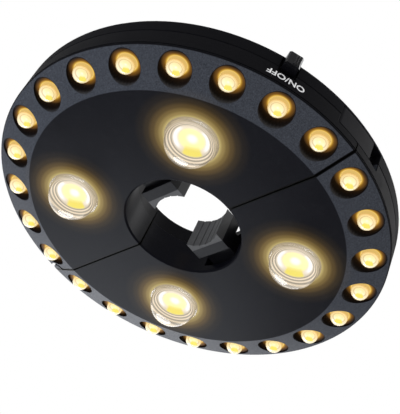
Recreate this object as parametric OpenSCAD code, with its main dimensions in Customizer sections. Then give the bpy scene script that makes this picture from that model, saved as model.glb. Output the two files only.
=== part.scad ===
// Clamp-on umbrella pole light: a round two-half housing that closes round a pole,
// with a ring of small spot lamps, four large lamps, sprung clamp jaws and a battery bay.
// Millimetres. The pole runs along Z through the origin. The lamps face -Z and the back faces +Z.
// The halves part along the X axis: half A (switch) at -Y, half B (batteries) at +Y.
// The hinge is at -X and the latch at +X. Z = 0 is half way up the housing.

/* [Housing] */
// outside diameter of the round housing
rim_d = 216; // [208:1:232]
// height of the housing from its lamp face to its back
body_h = 29.6; // [29.2:0.2:36]
// diameter of the pole opening in the middle
bore_d = 64; // [62:1:68]
// thickness of the moulded walls
wall_t = 2.2; // [1.9:0.1:2.6]
// height above the lamp face where the back cover meets the face shell
seam_h = 19.6; // [19.2:0.2:20.4]
// gap between the two closed halves
split_gap = 0.7; // [0.3:0.05:0.9]
// radius of the rounded edge round the back
back_edge_r = 3; // [1.5:0.5:4]

/* [Lamp face] */
// diameter of the crease where the flat face turns up into the sloped band
crease_d = 174.6; // [168:0.2:176]
// height that the sloped band gains from the crease to the rim
band_rise = 8.2; // [7:0.1:9]

/* [Spot lamps] */
// number of small lamps round the band
spot_count = 24; // [16:2:24]
// diameter of the circle the small lamps stand on
spot_pcd = 195.8; // [194:0.2:196.4]
// diameter of the well round each small lamp, at the face
well_d = 17.4; // [14:0.2:17.4]
// height of the well floor above the lamp face
well_floor_h = 8; // [7.6:0.1:8.4]
// diameter of a small lamp's lens
spot_lens_d = 9.6; // [6:0.2:10]
// height of a small lens's tip above the lamp face
spot_tip_h = 1.2; // [0.4:0.2:3.4]

/* [Large lamps] */
// diameter of the circle the large lamps stand on
flood_pcd = 122.8; // [118:0.2:126]
// diameter of a large lamp's lens
flood_lens_d = 28; // [22:0.2:30]
// how far the dome of a large lamp stands out of the face
flood_dome_h = 14; // [6:0.5:14]

/* [Pole clamp] */
// pole diameter at which the jaws rest on their inner stops
pole_d = 34.8; // [30:0.2:36]
// how far each jaw can be pushed back
jaw_travel = 6.6; // [3:0.2:6.6]
// width of a jaw across the pole
jaw_w = 21.6; // [18:0.2:24]
// height of a jaw along the pole
jaw_h = 19.6; // [16:0.2:22]
// thickness of the rubber pad at the middle of a jaw
pad_t = 1.6; // [1.2:0.1:3]
// width of the stem that slides in the housing
stem_w = 17; // [14:0.5:18]

/* [Hinge] */
// distance of the hinge axis inside the rim
hinge_inset = 3.6; // [3.2:0.1:4]
// diameter of the hinge pin
hinge_pin_d = 2.5; // [2:0.1:3]
// largest opening angle of the two halves
open_angle = 90; // [60:5:90]

/* [Latch] */
// angle from the parting line to the latch pivot, on the switch half
latch_back_angle = 7; // [6:0.25:8]
// angle from the parting line to the free end of the latch, on the battery half
latch_front_angle = 5.4; // [5:0.1:6]
// height of the latch along the pole
latch_h = 11.5; // [8:0.5:11.5]
// thickness of the latch
latch_t = 2.6; // [2.2:0.1:2.8]
// angle that the finger notch covers beside the latch
notch_angle = 4.2; // [3.5:0.1:5]

/* [Switch] */
// angle of the push button round the rim
button_angle = -25; // [-30:0.5:-22]
// width of the push button
button_w = 7.6; // [6:0.2:8.4]
// height of the push button
button_h = 8.4; // [6:0.2:8.4]
// how far the push button stands out of the rim
button_out = 4.8; // [2:0.2:6]
// how far the push button can be pressed
button_travel = 1.2; // [0.6:0.1:1.3]

/* [Batteries] */
// diameter of a battery cell
cell_d = 14.5; // [13.5:0.1:14.5]
// length of a battery cell over its button end
cell_l = 50.5; // [44:0.5:50.5]

/* [Hanging hooks] */
// angle of the hooks from the parting line
hook_angle = 20; // [18:1:22]
// outer radius of the round part of a hook
hook_r = 8.4; // [7:0.2:8.4]
// width of the bent rod of a hook
hook_w = 3.8; // [3:0.1:4.2]
// thickness of a hook
hook_t = 3.6; // [3:0.1:4]

/* [Hidden] */
$fn = 96;

// which half a piece belongs to
A = -1;
B = 1;

// shared clearances
slide_gap = 0.3;      // round a piece that slides or swings
run_gap = 0.06;       // radial, between a pin and the piece that turns on it
eps = 0.01;           // lets a cut run just past a face
far = 400;            // longer than anything in the model

// housing
rim_r = rim_d / 2;
bore_r = bore_d / 2;
crease_r = crease_d / 2;
band_slope = atan(band_rise / (rim_r - crease_r));
in_r = rim_r - wall_t;
tube_r = bore_r + wall_t;
end_y = split_gap / 2 + wall_t;
seam_chamfer = 0.45;
edge_slot_h = 0.7;
edge_slot_deep = 1;
edge_chamfer = 0.45;
edge_lip_h = 0.65;
edge_slot_end = 165;
bore_chamfer = 0.8;
lip_t = 1.2;
lip_h = 2;
lip_gap = 0.3;

// spot lamps
spot_r = spot_pcd / 2;
spots_per_half = spot_count / 2;
spot_pitch = 180 / spots_per_half;
well_draft = 0.5;
cup_wall = 1.3;
well_floor_t = 1.6;
spot_hole_gap = 0.15;
board_t = 1.2;
spot_board_h = well_floor_h + well_floor_t;
spot_board_end = 4.5;

// large lamps
flood_r = flood_pcd / 2;
flood_lens_r = flood_lens_d / 2;
flood_angles = [45, 135];
flood_gap = 0.15;
flood_seat_h = 2.6;
flood_cup_wall = 1.6;
flood_ledge = 1.8;
flood_cup_h = 6.5;
flood_rise = 0.8;
flood_steps = [[0.4, 0.5], [0.8, 1]];
flood_dome_inset = 1.2;
flood_dome_r = flood_lens_r - flood_dome_inset;
reflector_t = 0.8;
chip_w = 5;
chip_t = 0.8;

// clamp jaws
pole_r = pole_d / 2;
pad_back_y = pole_r + pad_t;
jaw_back_y = pad_back_y + 6;
pad_groove_r = 0.4;
pad_grooves = 5;
jaw_z = (body_h - jaw_h) / 2;
stem_h = 11;
stem_z = seam_h - slide_gap - stem_h;
flange_t = 2.4;
flange_w = jaw_w + 5.4;
flange_y = tube_r + slide_gap;
stem_end_y = flange_y + 9.5;
seat_y = stem_end_y + jaw_travel + 0.9;
seat_t = 1.8;
spring_pocket_r = 4.6;
spring_pocket_y = bore_r;
spring_wire_d = 0.8;
spring_coil_r = 3.8;
spring_turns = 7;
rail_t = 2;

// hinge
hinge_x = -(rim_r - hinge_inset);
hinge_pin_r = hinge_pin_d / 2;
knuckle_r = hinge_inset - 0.1;
relief_r = hinge_inset / cos(open_angle / 2) + slide_gap;
knuckle_gap = 0.3;
shell_knuckle_h = (band_rise + seam_h) / 2 - 1;
cover_knuckle_h = (seam_h + body_h) / 2;
hinge_pin_z = band_rise + 1;
hinge_pin_end = 1;

// latch: a bar that pivots on half A and hooks into half B
latch_z = seam_h + 0.35 - latch_h / 2;
latch_r = rim_r - latch_t;
latch_pin_r = 1;
latch_tooth_back = 2;
latch_tooth_front = 0.4;
latch_tooth_h = 1.8;
latch_floor_r = rim_r - 5;
latch_gap = 0.5;
latch_backing = 1.6;
latch_pin_reach = 2.4;
tongue_gap = 0.25;
tongue_angle = 0.9;

// switch
pocket_side = 1.1;
pocket_below = 3;
pocket_deep = 3.5;
pocket_wall = 1.6;
button_z = body_h - 1.6 - button_h;
button_back_r = rim_r - pocket_deep + button_travel + 0.2;
button_stem_w = button_w - 2;
button_stem_h = button_h - 2.8;
button_flange_t = 1.7;
button_ribs = 3;
switch_face_r = button_back_r - 7.7;
control_z = seam_h - 2.6;

// batteries
cell_r = cell_d / 2;
cell_gap = 0.4;
cell_touch = 0.1;
contact_room = 5.2;
plate_t = 0.5;
bay_x = cell_l + cell_touch / 2 + contact_room / 2 + plate_t;
bay_y = seat_y + seat_t + 3.2;
bay_w = 2 * cell_d + 2 * cell_gap;
tub_wall = 2.6;
tub_floor = 1.4;
bay_z = body_h - 1.8 - cell_d - 0.4;
door_t = 1.8;
door_gap = 0.3;
door_lap = 1.4;
door_roll_r = 1.5;
door_axis_y = bay_y - tub_wall + door_roll_r + door_gap + 0.9;
door_axis_z = body_h - door_roll_r;
trunnion_r = 0.8;
trunnion_l = 1.4;

// hanging hooks
hook_in = 67.5;
hook_ring = hook_in + 19;
hook_roll_r = hook_t / 2;
hook_pin_r = 1;
hook_roll_w = 12;
hook_recess_w = 2 * hook_r + 2.4;
hook_recess_in = hook_in - 3.5;
hook_recess_out = hook_ring + hook_r + 4;
hook_floor = body_h - hook_t - 1.8;
hook_z = body_h - 0.6 - hook_t;
hook_wall = 1.5;
hook_mouth = 62;
hook_mouth_at = 112;

// screws through the back covers into the face shells
screw_spots = [[40, 20], [40, 160], [80, 36], [80, 144]];
screw_r = 1.4;
screw_head_r = 2.7;
screw_head_h = 1.6;
screw_sink = 0.6;
boss_r = 3.2;
screw_reach = 9;

// ---------------------------------------------------------------- helpers

// everything is drawn from the lamp face up and then centred on the housing
module centred() {
  translate([0, 0, -body_h / 2]) children();
}

// the space on one side of the parting line, starting the given distance from it
module half_space(side, from) {
  translate([-far / 2, side > 0 ? from : -from - far, -far / 2]) cube([far, far, far]);
}

// a flat wedge from the pole axis between two angles, less than 180 degrees apart
module wedge(a0, a1) {
  mid = (a0 + a1) / 2;
  polygon([[0, 0],
           far * [cos(a0), sin(a0)],
           far * [cos(mid), sin(mid)],
           far * [cos(a1), sin(a1)]]);
}

// part of a round band between two radii and two angles
module band_sector(r0, r1, a0, a1, z0, z1) {
  translate([0, 0, z0]) linear_extrude(z1 - z0) intersection() {
    difference() {
      circle(r1);
      circle(r0);
    }
    wedge(a0, a1);
  }
}

// turns to an angle round the pole and steps out to a radius
module at(angle, r) {
  rotate([0, 0, angle]) translate([r, 0, 0]) children();
}

// repeats its children at each small lamp of one half
module each_spot(side) {
  for (k = [0 : spots_per_half - 1]) at(side * (k + 0.5) * spot_pitch, spot_r) children();
}

// repeats its children at each large lamp of one half
module each_flood(side) {
  for (a = flood_angles) at(side * a, flood_r) children();
}

// repeats its children at each screw of one half
module each_screw(side) {
  for (s = screw_spots) at(side * s[1], s[0]) children();
}

// a block given by its two opposite corners
module block(low, high) {
  translate(low) cube(high - low);
}

// a coil of round wire along Z, from z0 to z1, between two coil radii
module coil(r0, r1, z0, z1, turns, wire_d, sides = 6, steps = 20) {
  n = round(turns * steps);
  points = [for (i = [0 : n])
              let (t = i / n, a = 360 * turns * t, r = r0 + (r1 - r0) * t,
                   z = z0 + wire_d / 2 + (z1 - z0 - wire_d) * t)
              for (j = [0 : sides - 1])
                let (b = 360 * j / sides, rr = r + wire_d / 2 * cos(b))
                [rr * cos(a), rr * sin(a), z + wire_d / 2 * sin(b)]];
  walls = [for (i = [0 : n - 1], j = [0 : sides - 1])
             let (p = i * sides + j, q = i * sides + (j + 1) % sides)
             each [[p, p + sides, q], [q, p + sides, q + sides]]];
  start = [[for (j = [0 : sides - 1]) j]];
  end = [[for (j = [sides - 1 : -1 : 0]) n * sides + j]];
  polyhedron(points, concat(walls, start, end), convexity = 10);
}

// ---------------------------------------------------------------- housing profiles

// outline of the face shell, seen in section from the pole axis out
module shell_outline() {
  polygon([[bore_r, bore_chamfer],
           [bore_r + bore_chamfer, 0],
           [crease_r, 0],
           [rim_r - edge_chamfer, band_rise - edge_chamfer * tan(band_slope)],
           [rim_r, band_rise + edge_chamfer],
           [rim_r, seam_h - seam_chamfer],
           [rim_r - seam_chamfer, seam_h],
           [bore_r, seam_h]]);
}

// the room inside the face shell, open at the seam
module shell_room_outline() {
  lift = wall_t / cos(band_slope);
  turn_r = crease_r - (lift - wall_t) / tan(band_slope);
  polygon([[tube_r, wall_t],
           [turn_r, wall_t],
           [in_r, lift + (in_r - crease_r) * tan(band_slope)],
           [in_r, seam_h + 1],
           [tube_r, seam_h + 1]]);
}

// outline of the back cover
module cover_outline() {
  difference() {
    polygon([[bore_r, seam_h],
             [rim_r - seam_chamfer, seam_h],
             [rim_r, seam_h + seam_chamfer],
             [rim_r, body_h],
             [bore_r + bore_chamfer, body_h],
             [bore_r, body_h - bore_chamfer]]);
    difference() {
      translate([rim_r - back_edge_r, body_h - back_edge_r]) square(back_edge_r + 1);
      translate([rim_r - back_edge_r, body_h - back_edge_r]) circle(back_edge_r);
    }
  }
}

// the room inside the back cover, open at the seam
module cover_room_outline() {
  difference() {
    translate([tube_r, seam_h - 1]) square([in_r - tube_r, body_h - wall_t - seam_h + 1]);
    difference() {
      translate([rim_r - back_edge_r, body_h - back_edge_r]) square(back_edge_r);
      translate([rim_r - back_edge_r, body_h - back_edge_r]) circle(back_edge_r - wall_t / 2);
    }
  }
}

// ---------------------------------------------------------------- hinge

// height range of one of the four knuckles, counted from the lamp face
function knuckle_span(i) =
  [[-1, shell_knuckle_h], [shell_knuckle_h, seam_h],
   [seam_h, cover_knuckle_h], [cover_knuckle_h, body_h + 1]][i];

// a round post on the hinge axis
module on_hinge(r, z0, z1) {
  translate([hinge_x, 0, z0]) cylinder(r = r, h = z1 - z0);
}

// closes the housing behind the hinge
module hinge_backing() {
  on_hinge(relief_r + wall_t * 0.7, 0, body_h);
}

// the knuckle that a half carries within one of its mouldings
module knuckle(i) {
  span = knuckle_span(i);
  on_hinge(knuckle_r, span[0] + knuckle_gap / 2, span[1] - knuckle_gap / 2);
}

// the room that the other half's knuckle needs
module knuckle_relief(i) {
  span = knuckle_span(i);
  on_hinge(relief_r, span[0] - knuckle_gap / 2, span[1] + knuckle_gap / 2);
}

// the hole for the hinge pin: tight in half A, which carries the pin, and free in half B
module hinge_hole(side) {
  on_hinge(side == A ? hinge_pin_r : hinge_pin_r + run_gap, hinge_pin_z, body_h - hinge_pin_end);
}

// ---------------------------------------------------------------- latch

latch_pivot = [latch_r * cos(latch_back_angle), -latch_r * sin(latch_back_angle)];

// the bar with its round end, grown by a gap
module latch_bar(gap) {
  translate([0, 0, latch_z - gap]) linear_extrude(latch_h + 2 * gap) {
    intersection() {
      difference() {
        circle(rim_r);
        circle(latch_r - gap);
      }
      wedge(-latch_back_angle, latch_front_angle);
    }
    translate(latch_pivot) circle(latch_t + gap);
  }
}

// walls kept behind the latch and its finger notch
module latch_backing(side) {
  z0 = latch_z - latch_gap - latch_backing;
  z1 = latch_z + latch_h + latch_gap + latch_backing;
  if (side == A) {
    band_sector(latch_r - latch_gap - latch_backing, rim_r, -latch_back_angle, 2, z0, z1);
    translate([latch_pivot[0], latch_pivot[1], z0 - 1])
      cylinder(r = latch_t + latch_gap + latch_backing, h = z1 - z0 + 2);
  } else {
    band_sector(latch_floor_r - latch_backing, rim_r, -2, latch_front_angle + notch_angle + 1.2, z0, z1);
  }
}

// everything cut for the latch in one half
module latch_cut(side) {
  if (side == A) {
    latch_bar(latch_gap);
    translate([latch_pivot[0], latch_pivot[1], latch_z - latch_pin_reach])
      cylinder(r = latch_pin_r, h = latch_h + 2 * latch_pin_reach);
  } else {
    band_sector(latch_floor_r, rim_r + 2, -1, latch_front_angle + notch_angle,
                latch_z - latch_gap, latch_z + latch_h + latch_gap);
  }
}

// ---------------------------------------------------------------- switch pocket

pocket_w = button_w + 2 * pocket_side;
pocket_z = button_z - pocket_below;

module switch_backing() {
  rotate([0, 0, button_angle])
    block([rim_r - pocket_deep - pocket_wall, -pocket_w / 2 - pocket_wall, pocket_z - pocket_wall],
          [rim_r, pocket_w / 2 + pocket_wall, body_h - 0.2]);
}

module switch_cut() {
  rotate([0, 0, button_angle]) {
    block([rim_r - pocket_deep, -pocket_w / 2, pocket_z],
          [rim_r + 5, pocket_w / 2, button_z + button_h + slide_gap]);
    block([rim_r - pocket_deep - pocket_wall - 1, -button_stem_w / 2 - slide_gap,
           button_z + (button_h - button_stem_h) / 2 - slide_gap],
          [rim_r, button_stem_w / 2 + slide_gap,
           button_z + (button_h + button_stem_h) / 2 + slide_gap]);
  }
}

// ---------------------------------------------------------------- face shells

// rails and seat for a jaw's stem and spring, drawn for half B
module jaw_guides() {
  rail_x = flange_w / 2 + slide_gap;
  for (s = [-1, 1]) {
    block([s > 0 ? rail_x : -rail_x - rail_t, tube_r - 1, 0],
          [s > 0 ? rail_x + rail_t : -rail_x, seat_y + seat_t, seam_h - 0.3]);
    block([s * stem_w / 4 - 0.8, tube_r - 1, 0],
          [s * stem_w / 4 + 0.8, seat_y, stem_z - slide_gap]);
  }
  block([-rail_x, seat_y, 0], [rail_x, seat_y + seat_t, seam_h - 0.3]);
  translate([0, seat_y + eps, stem_z + stem_h / 2]) rotate([90, 0, 0]) cylinder(r = 2.4, h = 3);
}

// the opening in the pole tube that a jaw slides through
module jaw_window(side) {
  scale([1, side, 1])
    block([-jaw_w / 2 - slide_gap, bore_r / 2, jaw_z - slide_gap],
          [jaw_w / 2 + slide_gap, tube_r + 1, jaw_z + jaw_h + slide_gap]);
}

// the thin slot that parts the band from the wall; it stops short of the hinge
module edge_slot() {
  rotate([0, 0, -edge_slot_end]) rotate_extrude(angle = 2 * edge_slot_end)
    translate([rim_r - edge_slot_deep, band_rise + edge_lip_h]) square([edge_slot_deep + 1, edge_slot_h]);
}

module face_shell(side) {
  own = side == B ? 0 : 1;
  centred() difference() {
    union() {
      difference() {
        intersection() {
          rotate_extrude() shell_outline();
          half_space(side, split_gap / 2);
        }
        difference() {
          intersection() {
            rotate_extrude() shell_room_outline();
            half_space(side, end_y);
          }
          each_spot(side) cylinder(r = well_d / 2 + cup_wall, h = spot_board_h);
          each_flood(side) cylinder(r = flood_lens_r + flood_gap + flood_cup_wall, h = flood_cup_h);
          each_screw(side) cylinder(r = boss_r, h = seam_h - 0.2);
          scale([1, side, 1]) jaw_guides();
          hinge_backing();
          latch_backing(side);
          if (side == A) {
            switch_backing();
            control_posts();
          }
        }
      }
      intersection() {
        knuckle(own);
        rotate_extrude() shell_outline();
      }
    }
    each_spot(side) {
      translate([0, 0, -eps])
        cylinder(r1 = well_d / 2, r2 = well_d / 2 - well_draft, h = well_floor_h + eps);
      cylinder(r = spot_lens_d / 2 + spot_hole_gap, h = spot_board_h + 1);
    }
    each_flood(side) {
      translate([0, 0, -1]) cylinder(r = flood_lens_r + flood_gap, h = flood_seat_h + 1);
      cylinder(r = flood_lens_r - flood_ledge, h = flood_cup_h + 1);
    }
    each_screw(side) translate([0, 0, seam_h - screw_reach]) cylinder(r = screw_r, h = screw_reach + 1);
    jaw_window(side);
    edge_slot();
    knuckle_relief(1 - own);
    hinge_hole(side);
    latch_cut(side);
    if (side == A) switch_cut();
  }
}

module face_shell_a() {
  color([0.12, 0.12, 0.13]) face_shell(A);
}

module face_shell_b() {
  color([0.12, 0.12, 0.13]) face_shell(B);
}

// ---------------------------------------------------------------- back covers

// the inner lip that locates the cover inside the face shell
module cover_lip(side) {
  r = in_r - lip_gap;
  intersection() {
    difference() {
      translate([0, 0, seam_h - lip_h]) difference() {
        cylinder(r = r, h = lip_h + 1);
        translate([0, 0, -1]) cylinder(r = r - lip_t, h = lip_h + 3);
      }
      on_hinge(relief_r + wall_t, 0, body_h);
      band_sector(bore_r, rim_r, -latch_back_angle - 4, latch_front_angle + notch_angle + 3, 0, seam_h);
      if (side == A) band_sector(bore_r, rim_r, button_angle - 5, button_angle + 5, 0, seam_h);
    }
    half_space(side, end_y + lip_gap);
  }
}

// the tub that holds the cells, drawn for half B
module battery_tub() {
  block([-bay_x - tub_wall, bay_y - tub_wall, bay_z - tub_floor],
        [bay_x + tub_wall, bay_y + bay_w + tub_wall, body_h - wall_t + eps]);
}

module battery_bay_cut() {
  block([-bay_x, bay_y, bay_z], [bay_x, bay_y + bay_w, body_h + 1]);
  // seat for the door and its rolled edge
  block([-bay_x - door_lap - door_gap, door_axis_y, body_h - door_t - 0.1],
        [bay_x + door_lap + door_gap, bay_y + bay_w + door_lap + door_gap, body_h + 1]);
  block([-bay_x - door_lap - door_gap, door_axis_y - door_roll_r - door_gap,
         door_axis_z - door_roll_r - door_gap],
        [bay_x + door_lap + door_gap, door_axis_y + door_roll_r + door_gap, body_h + 1]);
  // sockets for the two trunnions
  translate([-bay_x - door_lap - trunnion_l - 2 * door_gap, door_axis_y, door_axis_z])
    rotate([0, 90, 0])
      cylinder(r = trunnion_r + run_gap, h = 2 * (bay_x + door_lap + trunnion_l + 2 * door_gap));
  // thumb scoop beside the free edge
  translate([0, bay_y + bay_w + door_lap, body_h + 2.4]) rotate([90, 0, 0])
    scale([1.6, 1, 1]) translate([0, 0, -3.6]) cylinder(r = 4, h = 3.6);
}

module hook_frame(side) {
  rotate([0, 0, side == B ? hook_angle : hook_angle - 180]) children();
}

module hook_recess_backing() {
  block([hook_recess_in - hook_wall, -hook_recess_w / 2 - hook_wall, hook_floor - hook_wall],
        [hook_recess_out + hook_wall, hook_recess_w / 2 + hook_wall, body_h - wall_t + eps]);
}

module hook_recess_cut() {
  block([hook_recess_in, -hook_recess_w / 2, hook_floor],
        [hook_recess_out, hook_recess_w / 2, body_h + 1]);
  translate([hook_in, hook_recess_w / 2 + hook_wall - 0.4, hook_z + hook_roll_r])
    rotate([90, 0, 0]) cylinder(r = hook_pin_r, h = hook_recess_w + 2 * hook_wall - 0.8);
}

module back_cover(side) {
  own = side == B ? 2 : 3;
  centred() difference() {
    union() {
      difference() {
        intersection() {
          rotate_extrude() cover_outline();
          half_space(side, split_gap / 2);
        }
        difference() {
          intersection() {
            rotate_extrude() cover_room_outline();
            half_space(side, end_y);
          }
          each_screw(side) cylinder(r = boss_r + 0.6, h = body_h);
          hinge_backing();
          latch_backing(side);
          if (side == A) switch_backing();
        }
      }
      intersection() {
        knuckle(own);
        rotate_extrude() cover_outline();
      }
      cover_lip(side);
      hook_frame(side) hook_recess_backing();
      if (side == B) battery_tub();
    }
    each_screw(side) {
      cylinder(r = screw_r + 0.1, h = body_h + 1);
      translate([0, 0, body_h - screw_head_h - screw_sink]) cylinder(r = screw_head_r + 0.2, h = 5);
    }
    jaw_window(side);
    hook_frame(side) hook_recess_cut();
    knuckle_relief(side == B ? 3 : 2);
    hinge_hole(side);
    latch_cut(side);
    if (side == A) switch_cut();
    if (side == B) battery_bay_cut();
  }
}

module back_cover_a() {
  color([0.15, 0.15, 0.16]) back_cover(A);
}

module back_cover_b() {
  color([0.15, 0.15, 0.16]) back_cover(B);
}

// ---------------------------------------------------------------- spot lamps

module spot_lens() {
  r = spot_lens_d / 2;
  rotate_extrude() intersection() {
    union() {
      translate([0, spot_tip_h + r]) circle(r);
      translate([0, spot_tip_h + r]) square([r, spot_board_h - spot_tip_h - r]);
    }
    translate([0, spot_tip_h - 1]) square([r + 1, spot_board_h - spot_tip_h + 1]);
  }
}

module spot_lenses(side) {
  centred() each_spot(side) spot_lens();
}

module spot_lenses_a() {
  color([1, 0.9, 0.6]) spot_lenses(A);
}

module spot_lenses_b() {
  color([1, 0.9, 0.6]) spot_lenses(B);
}

// an arc of circuit board lying on the backs of the wells
module spot_board(side) {
  width = well_d - 2;
  centred() difference() {
    band_sector(spot_r - width / 2, spot_r + width / 2 - 1,
                side > 0 ? spot_board_end : spot_board_end - 180,
                side > 0 ? 90 : -90, spot_board_h, spot_board_h + board_t);
    half_space(-side, 0);
  }
}

module spot_board_full(side) {
  union() {
    spot_board(side);
    mirror([1, 0, 0]) spot_board(side);
  }
}

module spot_board_a() {
  color([0.1, 0.35, 0.2]) spot_board_full(A);
}

module spot_board_b() {
  color([0.1, 0.35, 0.2]) spot_board_full(B);
}

// ---------------------------------------------------------------- large lamps

module flood_lens() {
  dome_base = -flood_rise - flood_steps[1][1];
  dome_h = flood_dome_h + dome_base;
  dome_r = (flood_dome_r * flood_dome_r + dome_h * dome_h) / (2 * dome_h);
  rotate_extrude() union() {
    translate([0, -flood_rise]) square([flood_lens_r, flood_rise + flood_seat_h]);
    for (s = flood_steps) translate([0, -flood_rise - s[1]]) square([flood_lens_r - s[0], 2 + s[1]]);
    intersection() {
      translate([0, -flood_dome_h + dome_r]) circle(dome_r);
      translate([0, -flood_dome_h - 1]) square([flood_dome_r, flood_dome_h + 1]);
    }
  }
}

module flood_lenses_a() {
  color([1, 0.95, 0.8]) centred() each_flood(A) flood_lens();
}

module flood_lenses_b() {
  color([1, 0.95, 0.8]) centred() each_flood(B) flood_lens();
}

// a bright cone between the lens and the board
module flood_reflector() {
  r = flood_lens_r - flood_ledge - 0.1;
  h = flood_cup_h - flood_seat_h;
  translate([0, 0, flood_seat_h]) difference() {
    cylinder(r = r, h = h);
    translate([0, 0, -eps]) cylinder(r1 = r - reflector_t, r2 = chip_w * 0.9, h = h + 2 * eps);
  }
}

module flood_reflectors_a() {
  color([0.9, 0.9, 0.9]) centred() each_flood(A) flood_reflector();
}

module flood_reflectors_b() {
  color([0.9, 0.9, 0.9]) centred() each_flood(B) flood_reflector();
}

// the round board behind a large lamp, with its light chip
module flood_board() {
  translate([0, 0, flood_cup_h]) cylinder(r = flood_lens_r, h = board_t);
  block([-chip_w / 2, -chip_w / 2, flood_cup_h - chip_t], [chip_w / 2, chip_w / 2, flood_cup_h + eps]);
}

module flood_boards_a() {
  color([0.9, 0.9, 0.85]) centred() each_flood(A) flood_board();
}

module flood_boards_b() {
  color([0.9, 0.9, 0.85]) centred() each_flood(B) flood_board();
}

// ---------------------------------------------------------------- switch

control_x0 = 82;
control_w = 24;
post_x = 84.5;
post_y = 9;

// two posts on the face shell that carry the control board
module control_posts() {
  rotate([0, 0, button_angle]) for (s = [-1, 1])
    translate([post_x, s * post_y, 0]) cylinder(r = 2.3, h = control_z);
}

module control_board() {
  color([0.1, 0.35, 0.2]) centred() rotate([0, 0, button_angle])
    block([control_x0, -control_w / 2, control_z],
          [switch_face_r - 0.6, control_w / 2, control_z + board_t]);
}

// the small switch that the button's stem presses
module button_switch() {
  z = button_z + button_h / 2;
  color([0.2, 0.2, 0.2]) centred() rotate([0, 0, button_angle]) {
    block([switch_face_r - 6.2, -3, control_z + board_t], [switch_face_r - 1, 3, z + 3]);
    translate([switch_face_r - 1 - eps, 0, z]) rotate([0, 90, 0]) cylinder(r = 1.6, h = 1 - 0.1);
  }
}

module power_button() {
  z = button_z + button_h / 2;
  edge = 0.8;
  stem_r = switch_face_r + button_travel;
  color([0.1, 0.1, 0.1]) centred() rotate([0, 0, button_angle]) {
    // head with softened front edges
    intersection() {
      block([button_back_r, -button_w / 2, button_z], [rim_r + button_out, button_w / 2, button_z + button_h]);
      translate([0, 0, button_z - 1]) linear_extrude(button_h + 2) polygon([
        [button_back_r, -button_w / 2], [rim_r + button_out - edge, -button_w / 2],
        [rim_r + button_out, -button_w / 2 + edge], [rim_r + button_out, button_w / 2 - edge],
        [rim_r + button_out - edge, button_w / 2], [button_back_r, button_w / 2]]);
    }
    // grip ribs on the side towards the latch
    for (k = [0 : button_ribs - 1])
      translate([rim_r + button_out, button_w / 2 - edge - 0.3 - 1.3 * k, button_z + 0.8])
        cylinder(r = 0.4, h = button_h - 1.6, $fn = 24);
    // stem, and the flange that keeps the button in
    block([stem_r, -button_stem_w / 2, z - button_stem_h / 2],
          [button_back_r + eps, button_stem_w / 2, z + button_stem_h / 2]);
    block([rim_r - pocket_deep - pocket_wall - slide_gap - button_flange_t,
           -button_stem_w / 2 - 1.4, z - button_stem_h / 2 - 1],
          [rim_r - pocket_deep - pocket_wall - slide_gap,
           button_stem_w / 2 + 1.4, z + button_stem_h / 2 + 0.3]);
  }
}

// ---------------------------------------------------------------- latch and hinge pieces

module latch_tab() {
  tooth0 = latch_front_angle - latch_tooth_back;
  tooth1 = latch_front_angle - latch_tooth_front;
  color([0.13, 0.13, 0.14]) centred() difference() {
    union() {
      latch_bar(0);
      band_sector(latch_r - latch_tooth_h, latch_r + 0.5, tooth0, tooth1,
                  latch_z + 1.5, latch_z + latch_h - 1.5);
    }
    translate([latch_pivot[0], latch_pivot[1], latch_z - 1])
      cylinder(r = latch_pin_r + run_gap, h = latch_h + 2);
  }
}

module latch_pin() {
  color([0.7, 0.7, 0.72]) centred()
    translate([latch_pivot[0], latch_pivot[1], latch_z - latch_pin_reach])
      cylinder(r = latch_pin_r, h = latch_h + 2 * latch_pin_reach);
}

// the springy ridge on half B that the latch tooth snaps behind
module catch_tongue() {
  a1 = latch_front_angle - latch_tooth_back - tongue_gap;
  color([0.13, 0.13, 0.14]) centred()
    band_sector(latch_floor_r, latch_r - 0.4, a1 - tongue_angle, a1,
                latch_z + 1.8, latch_z + latch_h - 1.8);
}

module hinge_pin() {
  color([0.7, 0.7, 0.72]) centred() on_hinge(hinge_pin_r, hinge_pin_z, body_h - hinge_pin_end);
}

// ---------------------------------------------------------------- clamp jaws

// a straight-sided slider: the carrier of the pad, the stem and the flange that stops it
module clamp_jaw(side) {
  scale([1, side, 1]) centred() difference() {
    union() {
      block([-jaw_w / 2, pad_back_y, jaw_z], [jaw_w / 2, jaw_back_y, jaw_z + jaw_h]);
      block([-stem_w / 2, jaw_back_y - eps, stem_z], [stem_w / 2, stem_end_y, stem_z + stem_h]);
      block([-flange_w / 2, flange_y, stem_z], [flange_w / 2, flange_y + flange_t, stem_z + stem_h]);
    }
    translate([0, stem_end_y + 1, stem_z + stem_h / 2]) rotate([90, 0, 0])
      cylinder(r = spring_pocket_r, h = stem_end_y + 1 - spring_pocket_y);
  }
}

module clamp_jaw_a() {
  color([0.11, 0.11, 0.12]) clamp_jaw(A);
}

module clamp_jaw_b() {
  color([0.11, 0.11, 0.12]) clamp_jaw(B);
}

// a rubber block with a flat back and a grooved hollow that hugs the pole
module jaw_pad(side) {
  step = 2 * asin(jaw_w / 2 / pole_r) / (pad_grooves + 1);
  scale([1, side, 1]) centred() difference() {
    block([-jaw_w / 2, 0, jaw_z], [jaw_w / 2, pad_back_y, jaw_z + jaw_h]);
    translate([0, 0, jaw_z - 1]) {
      cylinder(r = pole_r, h = jaw_h + 2);
      for (k = [1 : pad_grooves]) at(90 + (k - (pad_grooves + 1) / 2) * step, pole_r)
        cylinder(r = pad_groove_r, h = jaw_h + 2, $fn = 24);
    }
  }
}

module jaw_pad_a() {
  color([0.2, 0.2, 0.2]) jaw_pad(A);
}

module jaw_pad_b() {
  color([0.2, 0.2, 0.2]) jaw_pad(B);
}

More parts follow.
